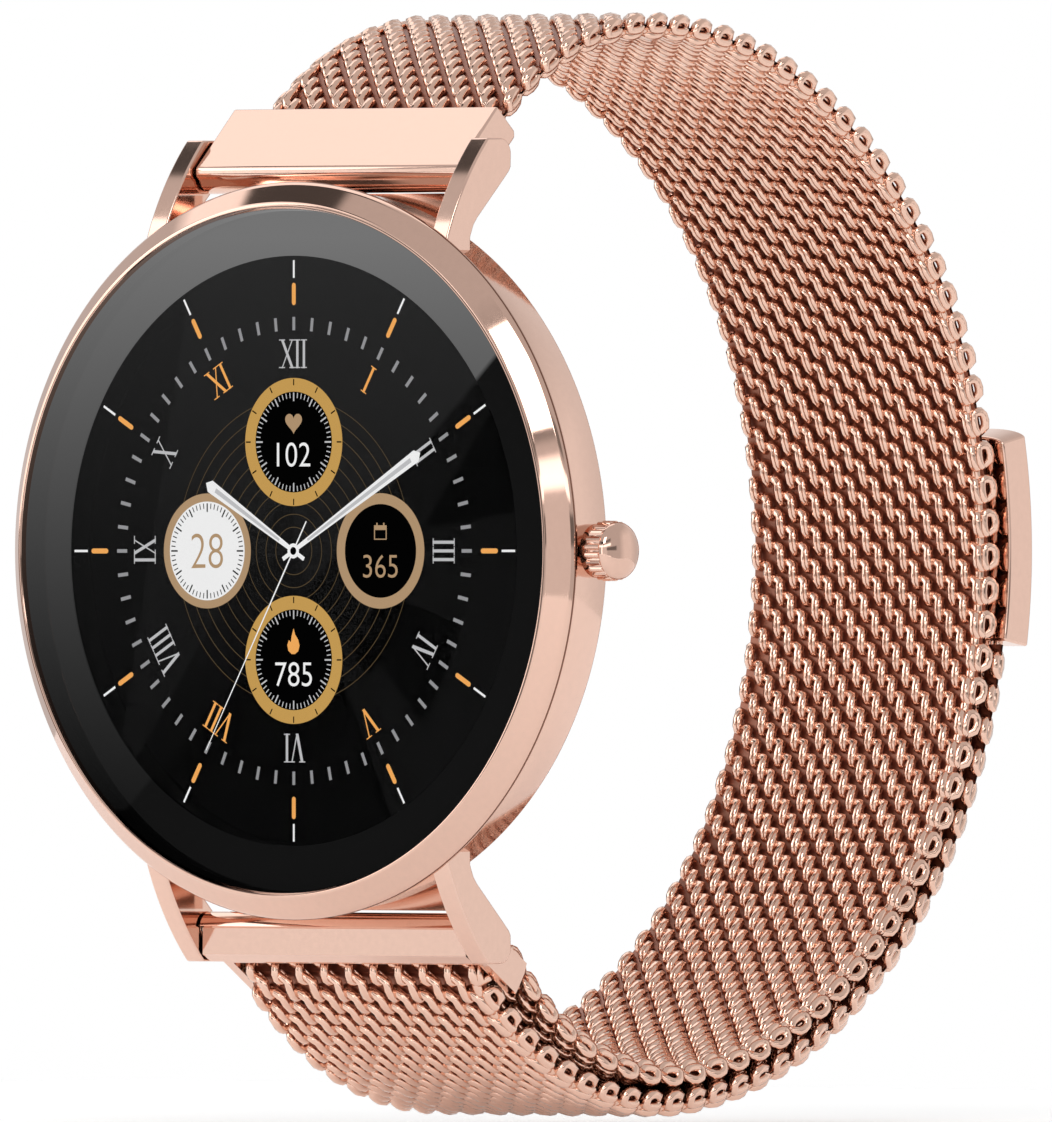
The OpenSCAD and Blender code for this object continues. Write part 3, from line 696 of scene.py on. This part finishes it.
# %% Crown
CROWN_Y = dy(3.0)
RIDGES = 22
knurl = []
for i in range(RIDGES):
    for f, r in ((0.0, 1.5), (0.14, 1.53), (0.3, 1.64), (0.5, 1.67), (0.7, 1.64), (0.86, 1.53)):
        a = 2 * pi * (i + f) / RIDGES
        knurl.append((CROWN_Y + r * cos(a), r * sin(a)))
ridges = drawn("crown_ridges", knurl, 21.0, 22.0)
cap_profile = [(0, 21.3), (0.65, 21.3), (0.65, 21.95), (1.5, 21.95), (1.56, 21.98)]
cap_profile += [(1.6 * cos(a), 22.05 + 0.74 * sin(a)) for a in (0, 0.2, 0.4, 0.6, 0.8, 1.0, 1.2, 1.4, 1.5708)]
dome = chain("crown_dome", [(x, CROWN_Y + r, 0) for r, x in cap_profile])
bpy.ops.mesh.spin(steps=64, angle=2 * pi, center=(0, CROWN_Y, 0), axis=(1, 0, 0))
tidy(dome)
bevel(ridges, 0.04, 2, 50)
done(joined("crown_knob", [ridges, dome]), "rose_gold_polished", "crown", "crown")

# %% [markdown]
# ## Links
# Each link is outlined from the side in its own frame, drawn out between the lugs, hollowed for the mesh and
# bored for its bar.

# %% Top and bottom links
def link_place(points, turn, side):
    """Points (u, w) of a link's frame, u along the link and w outwards, as (y, z)."""
    c, s = cos(radians(turn)), sin(radians(turn))
    return [(dy(BAR_DEPTH) + u * c - w * s, side * (BAR_Z + u * s + w * c)) for u, w in points]



def make_link(name, outline, turn, side, slot_box):
    link = drawn(name, link_place(outline, turn, side), -9.65, 9.65)
    (u0, u1), (w0, w1) = slot_box
    (cy, cz), = link_place([((u0 + u1) / 2, (w0 + w1) / 2)], turn, side)
    (by, bz), = link_place([(0, 0)], turn, side)
    cut(link, block((18.0, u1 - u0, w1 - w0), (0, cy, cz), side * radians(turn)), rod(0.65, (0, by, bz), 24))
    bevel(link, 0.13, 3, 40)
    return link


BARREL_STEPS, LOW_TURN = 14, 33.6
h = 1.15
top_shape = [(3.85, -h), (4.1, -h + 0.3), (4.0, h), (-0.75, h), (-1.05, h - 0.3), (-1.05, 0.35)]
top_shape += arc((0, 0), h, 170, 270, BARREL_STEPS)
top_link = make_link("link_top", top_shape, 45, 1, ((2.55, 5.6), (-h - 1, 0.32)))
done(top_link, "rose_gold_satin", "top_link", "top_link")
h = 0.95
low_shape = [(4.8, -h), (4.95, -h + 0.6), (4.95, h), (1.5, h), (1.02, h + 0.59), (0.22, h + 0.64), (-0.58, 0.35)]
low_shape += arc((0, 0), h, 155, 270, BARREL_STEPS)
low_link = make_link("link_bottom", low_shape, LOW_TURN, -1, ((2.055, 7), (-2, 2)))
done(low_link, "rose_gold_satin", "bottom_link", "bottom_link")

# %% [markdown]
# ## Woven band
# The band is a spiral weave: flattened coils lie across it, each one hooked through the next. One coil is drawn
# as a path, given a round wire and copied along the band's line; every other coil is shorter and shifted by
# half a turn, so that the edge is a row of separate round ends.

# %% One coil
HALF_U, HALF_W, STEPS, RUNS = 0.75, 0.5, 6, 20
SPACING = 2 * MESH_HALF / (RUNS - 1)


def coil_points(short):
    """Centre line of a coil: x across the band, y along it, z outwards. Short coils stop inside the edge."""
    inset = 1 if short else 0
    xs = [MESH_HALF - SPACING * k for k in range(inset, RUNS - inset)]
    edge = xs[0] + inset * 0.65
    xs = [edge - 0.25, *xs, 0.25 - edge]
    points = []
    for k, x in enumerate(xs):
        front = k % 2 == 1
        reach = HALF_U * (0.8 if k in (0, 1, len(xs) - 2, len(xs) - 1) else 1)
        shift = 0 if front or not 1 <= k <= len(xs) - 2 else min(SPACING / 2, max(edge - x, 0))
        before, after = xs[max(k - 1, 0)], xs[min(k + 1, len(xs) - 1)]
        for i in range(STEPS + (k == len(xs) - 1)):
            s = i / STEPS
            if s < 0.34:
                here = x + (before - x) * 0.5 * (1 - s / 0.34)
            elif s > 0.66:
                here = x + (after - x) * 0.5 * (s - 0.66) / 0.34
            else:
                here = x
            here += shift * min(1, 3 * s, 3 * (1 - s))
            c, w = -cos(pi * s), sin(pi * s)
            u = reach * (abs(c) ** 0.85) * (1 if c > 0 else -1)
            w = HALF_W * w ** 0.8 * (0.4 if k in (0, len(xs) - 1) else 1)
            points.append((here, u, w) if front else (here, -u, -w))
    return points


def wire_coil(name, short):
    obj = chain(name, coil_points(short))
    bpy.ops.object.mode_set(mode="OBJECT")
    only(obj)
    bpy.ops.object.convert(target="CURVE")
    obj = bpy.context.object
    obj.data.bevel_depth = WIRE
    obj.data.bevel_resolution = 1
    obj.data.use_fill_caps = True
    bpy.ops.object.convert(target="MESH")
    obj = bpy.context.object
    bpy.ops.object.shade_smooth()
    return obj


coil_a, coil_b = wire_coil("coil_a", False), wire_coil("coil_b", True)
report(coil_a, coil_b)

# %% [markdown]
# The band's line in the Y-Z plane: it leaves the top link, runs round the back, comes forward to the bottom
# link, folds over the slot bar and returns on the outside to the clasp.

# %% Line of the band
def meet(c1, r1, c2, r2):
    """Centre that is r1 from c1 and r2 from c2, on the side towards the back of the band."""
    dx, dz = c2[0] - c1[0], c2[1] - c1[1]
    span = hypot(dx, dz)
    along = (r1 * r1 - r2 * r2 + span * span) / (2 * span)
    off = sqrt(r1 * r1 - along * along)
    return (c1[0] + (along * dx - off * dz) / span, c1[1] + (along * dz + off * dx) / span)


TOP_R, INNER_R, OUTER_BEND_R, FOLD_R = 18.8, 17.2, 21.5, 1.5
loop_c = (LOOP_Y, 0)
top_c = (LOOP_Y, LOOP_R - TOP_R)
(slot_c,) = link_place([(4.4, 0)], LOW_TURN, -1)
inner_c = meet(loop_c, LOOP_R - INNER_R, slot_c, INNER_R + FOLD_R)
outer_c = meet(loop_c, OUTER_R - OUTER_BEND_R, slot_c, OUTER_BEND_R - FOLD_R)
SEGMENTS = [
    (top_c, TOP_R, 136.3, 90), (loop_c, LOOP_R, 90, bearing(loop_c, inner_c)),
    (inner_c, INNER_R, bearing(loop_c, inner_c), bearing(inner_c, slot_c)),
    (slot_c, FOLD_R, bearing(slot_c, inner_c), bearing(outer_c, slot_c) + 360),
    (outer_c, OUTER_BEND_R, bearing(outer_c, slot_c), bearing(loop_c, outer_c)),
    (loop_c, OUTER_R, bearing(loop_c, outer_c), -8.9)]
ENDS = []
for centre, radius, start, end in SEGMENTS:
    ENDS.append((ENDS[-1] if ENDS else 0) + abs(radians(end - start)) * radius)


def station(s):
    """Frame at a distance along the band: X across, Y along the band, Z out of its first outer face."""
    k = next((i for i, e in enumerate(ENDS) if s <= e), len(ENDS) - 1)
    centre, radius, start, end = SEGMENTS[k]
    sign = 1 if end > start else -1
    a = radians(start) + sign * (s - (ENDS[k - 1] if k else 0)) / radius
    y, z = centre[0] + radius * cos(a), centre[1] + radius * sin(a)
    along = Vector((0, -sign * sin(a), sign * cos(a)))
    out = Vector((1, 0, 0)).cross(along)
    turn = Matrix((Vector((1, 0, 0)), along, out)).transposed().to_4x4()
    return Matrix.Translation((0, y, z)) @ turn


SHADE = metal("mesh_shade", (0.3, 0.13, 0.09), 0.4)
COUNT = int((ENDS[-1] - 0.8) / ROW)
print("band line", round(ENDS[-1], 1), "mm,", COUNT, "coils; segment ends", [round(e, 1) for e in ENDS])


def core(s0, s1):
    """The shaded middle of the weave: a thin strip that closes the view through the coils."""
    steps = max(2, int((s1 - s0) / 1.2))
    outline = []
    for side in (-0.1, 0.1):
        row = [station(s0 + (s1 - s0) * i / steps) @ Vector((0, 0, side)) for i in range(steps + 1)]
        outline += row if side < 0 else row[::-1]
    obj = chain("core", [(-MESH_HALF + 0.05, p.y, p.z) for p in outline + outline[:1]])
    bpy.ops.mesh.remove_doubles(threshold=0.0005)
    bpy.ops.mesh.extrude_region_move(TRANSFORM_OT_translate={"value": (2 * MESH_HALF - 0.1, 0, 0)})
    bpy.ops.object.mode_set(mode="OBJECT")
    return obj


def woven(name, s0, s1, body, *nodes, blend=None):
    """Coils whose place lies between two distances, joined into one piece round their shaded core."""
    made = []
    for i in range(COUNT + 1):
        s = 0.35 + i * ROW
        if s0 <= s < s1:
            made.append(copy_of(coil_b if i % 2 else coil_a, station(s)))
    inner = core(max(s0, 0.3), min(s1, ENDS[-1] - 0.5))
    inner_faces = len(inner.data.polygons)
    piece = joined(name, made + [inner])
    if blend:
        other, b0, b1 = blend
        blend = (other, station(b0).translation, station(b1).translation)
    done(piece, "mesh_wire", body, *nodes, blend=blend)
    piece.data.materials.append(SHADE)
    for face in piece.data.polygons[-inner_faces:]:
        face.material_index = 1
    return piece


def length_to(angle):
    """Distance along the band of an angle on its outer loop."""
    return ENDS[4] + radians(angle - bearing(loop_c, outer_c)) * OUTER_R


hinges = [length_to(a) for a in (-66, -47, -28)]
middle = LOOP_R * pi / 2 + ENDS[0]
woven("mesh_top", 0, ENDS[0], "top_link", "band_top_flex", "band_top", blend=("case", 0.6, 8.4))
woven("mesh_upper", ENDS[0], middle, "case", "band_upper", "band_rear_upper")
woven("mesh_lower", middle, ENDS[2] - 8, "case", "band_rear_lower", "band_lower", "band_inner")
woven("mesh_inner_end", ENDS[2] - 8, ENDS[2], "case", "band_inner_flex",
      blend=("bottom_link", ENDS[2] - 7.6, ENDS[2] - 0.4))
woven("mesh_fold", ENDS[2], ENDS[3], "bottom_link", "band_fold")
woven("mesh_outer_start", ENDS[3], ENDS[3] + 8, "bottom_link", "band_outer_flex",
      blend=("case", ENDS[3] + 0.4, ENDS[3] + 7.6))
woven("mesh_outer", ENDS[3] + 8, hinges[0] - 4.6, "case", "band_outer_front", "band_outer")
woven("mesh_tail_1", hinges[0] - 4.6, hinges[0] + 5, "case", "tail_1",
      blend=("tail_1", hinges[0] - 1.5, hinges[0] + 1.5))
woven("mesh_tail_2", hinges[0] + 5, hinges[1] + 5, "tail_1", "tail_2",
      blend=("tail_2", hinges[1] - 1.5, hinges[1] + 1.5))
woven("mesh_tail_3", hinges[1] + 5, hinges[2] + 5, "tail_2", "tail_3",
      blend=("tail_3", hinges[2] - 1.5, hinges[2] + 1.5))
woven("mesh_tail_end", hinges[2] + 5, ENDS[-1], "tail_3")
only(coil_a, coil_b)
bpy.ops.object.delete()

# %% [markdown]
# ## Clasp
# A magnet shell at the end of the tail, curved like the band. Its two free corners are rounded first, then the
# pocket for the magnet is cut and the edges are eased.

# %% Clasp shell
inner, outer = 30.25, 32.3


def sector(r0, r1, a0, a1, count=24):
    return arc(loop_c, r1, a0, a1, count) + arc(loop_c, r0, a1, a0, count)


shell = drawn("clasp_cover", sector(inner, outer, CLASP_FROM, CLASP_TO), -9.3, 9.3)
bpy.ops.object.mode_set(mode="EDIT")
bpy.ops.mesh.select_mode(type="EDGE")
bpy.ops.mesh.select_all(action="DESELECT")
bpy.ops.object.mode_set(mode="OBJECT")
for edge in shell.data.edges:
    a, b = (shell.data.vertices[i].co for i in edge.vertices)
    edge.select = abs(a.x - b.x) < 0.01 and (a - b).length > 1.5 and a.z > 0
bpy.ops.object.mode_set(mode="EDIT")
bpy.ops.mesh.bevel(offset=2.4, segments=8, affect="EDGES")
bpy.ops.object.mode_set(mode="OBJECT")
pocket = drawn("pocket", sector(inner - 0.5, inner + 1.5, CLASP_FROM + 3.2, CLASP_TO - 1.5), -8.3, 8.3)
mouth = drawn("mouth", sector(inner - 0.5, OUTER_R + 0.72, CLASP_FROM - 1, -7.4), -9.0, 9.0)
cut(shell, pocket, mouth)
bevel(shell, 0.3, 4, 50)
done(shell, "rose_gold_satin", "tail_3", "clasp_shell")

# %% [markdown]
# ## Parts carried over from the CAD
# The remaining parts are hidden or plain enough to stay as the CAD made them, each with its own finish.

# %% Finishes for the carried-over parts
CARRIED = {
    "clear_adhesive": ["optical_adhesive"],
    "flex_film": ["display_flex"],
    "seal_rubber": ["back_gasket", "crown_gasket"],
    # The glass gasket takes the black print with its painted reflection, so that the reflection reaches the
    # bezel.
    "black_print": ["glass_gasket"],
    "case_back_metal": ["case_back"],
    "frame_plastic": ["inner_frame"],
    "circuit_board": ["main_board", "sensor_board"],
    "chip_black": ["board_chips"],
    "cell_foil": ["battery"],
    "steel": ["vibration_motor", "back_screws", "crown_sleeve", "crown_stem", "top_bar_tube", "top_bar_tips",
              "bottom_bar_tube", "bottom_bar_tips", "bar_springs", "top_mesh_pin", "slot_bar", "clasp_pin"],
    "gold_contact": ["charge_pads", "antenna"],
    "led_resin": ["sensor_leds"],
    "sensor_black": ["sensor_window"],
    "magnet": ["charge_magnets", "clasp_magnet"],
    "switch_plastic": ["crown_switch"],
    "rose_gold_polished": ["crown_tube"],
    "rose_gold_satin": ["clasp_base"],
}
for slot, names in CARRIED.items():
    for name in names:
        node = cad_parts[name]
        node.data.materials.clear()
        node.data.materials.append(FINISH[slot])
print(sum(len(n) for n in CARRIED.values()), "CAD parts given finishes")

# %% [markdown]
# ## Studio
# A pale floor under the watch and a white room. The room's light is arithmetic on direction: `band` picks a
# range of one coordinate and `near` a patch round a direction. Bright panels and strips and dark panels give the
# metal something to reflect, while the camera itself sees plain white.

# %% Floor and room
clear()
bpy.ops.mesh.primitive_plane_add(size=0.3, location=(0, 0, -0.0322))
floor = bpy.context.object
floor.name = "floor"
floor.data.materials.append(plain("floor_paint", (0.85, 0.85, 0.85), 0.6, vary=0.01, grain=3,
                                  Emission_Color=(1, 1, 1), Emission_Strength=0.28))

world = bpy.data.worlds.new("studio")
bpy.context.scene.world = world
world.use_nodes = True
tree = world.node_tree
back = tree.nodes["Background"]
path = tree.nodes.new("ShaderNodeLightPath")
coords = tree.nodes.new("ShaderNodeTexCoord")
split = tree.nodes.new("ShaderNodeSeparateXYZ")
tree.links.new(coords.outputs["Generated"], split.inputs[0])
east, north, height = (Field(tree, split.outputs[i]) for i in range(3))
SEEN_IN_DIAL = (-0.648, -0.7615, 0)
SEEN_IN_CONE = (0.64, -0.77, 0)


def band(value, low, high, soft):
    """1 between two limits, falling softly to 0 outside them."""
    return ((value - low) / soft + 0.5).clamp() * ((high - value) / soft + 0.5).clamp()


def near(direction, radius, soft):
    """1 round a direction, within an angle in degrees, falling softly to 0 outside it."""
    d = Vector(direction).normalized()
    facing = east * d.x + north * d.y + height * d.z
    return ((facing - cos(radians(radius))) / soft + 0.5).clamp()


left = band(east, -1.2, -0.15, 0.05)
front = band(north, -1.2, -0.1, 0.1)
top_panel = left * band(height, 0.5, 0.95, 0.05) * band(north, -0.03, 0.5, 0.02)
back_panel = band(north, 0.55, 0.95, 0.2) * band(height, -0.5, 0.5, 0.3)
level_strips = front * (band(height, 0.22, 0.33, 0.03) + band(height, -0.33, -0.22, 0.03))
right_strip = front * band(east, 0.1, 0.26, 0.02) * band(height, -0.6, 0.6, 0.1)
left_strip = left * band(north, -0.34, -0.16, 0.02) * band(height, -0.5, 0.5, 0.1)
bright = (0.75 * top_panel + 0.3 * back_panel + 0.2 * near(SEEN_IN_CONE, 25, 0.05)
          + 0.35 * near(SEEN_IN_DIAL, 8, 0.01) + 1.6 * level_strips + 2.0 * right_strip + 2.0 * left_strip)
dark_ring = near(SEEN_IN_DIAL, 20, 0.04) - near(SEEN_IN_DIAL, 9, 0.01)
dark = (0.87 * left * band(height, 0.6, 0.93, 0.04) * band(north, -0.26, -0.03, 0.02) + 0.8 * dark_ring
        + 0.7 * band(height, 0.02, 0.16, 0.03) * band(north, -0.5, 0.3, 0.1)
        + 0.6 * front * band(height, 0.4, 0.55, 0.05) + 0.5 * near((0.3, -0.9, 0.55), 16, 0.08)).clamp()
room = (0.62 + bright) * (1.0 - dark)
camera_ray = Field(tree, path.outputs["Is Camera Ray"])
level = room + camera_ray * (1.0 - room)
tree.links.new(level.socket, back.inputs["Strength"])
back.inputs["Color"].default_value = (1, 1, 1, 1)
print("room drawn with", len(tree.nodes), "nodes")

# %% [markdown]
# Two soft lamps, and a long camera that looks at the watch level with its middle.

# %% Lamps and camera
def lamp(name, place, size, power):
    bpy.ops.object.light_add(type="AREA", location=place)
    light = bpy.context.object
    light.name = name
    light.data.size = size
    light.data.energy = power
    light.rotation_euler = (Vector((0.01, 0.01, 0)) - light.location).to_track_quat("-Z", "Y").to_euler()


lamp("key", (0.35, -0.5, 0.45), 0.3, 1.2)
lamp("fill", (-0.5, -0.3, 0.2), 0.4, 0.8)

bpy.context.scene.view_settings.view_transform = "Standard"
FACING = radians(40.4)
DISTANCE, FRAME_WIDTH = 2.2, 0.0623
target = Vector((10.41, 0.26, -0.56)) * MM
bpy.ops.object.camera_add(location=target + DISTANCE * Vector((sin(FACING), -cos(FACING), 0)))
camera = bpy.context.object
camera.rotation_euler = (pi / 2, 0, FACING)
camera.data.lens = camera.data.sensor_width * DISTANCE / FRAME_WIDTH
camera.data.clip_start, camera.data.clip_end = 0.1, 50
bpy.context.scene.camera = camera
print("studio set")

# %% [markdown]
# ## Finish

# %% Finish
print("pieces made:", len(PIECES))
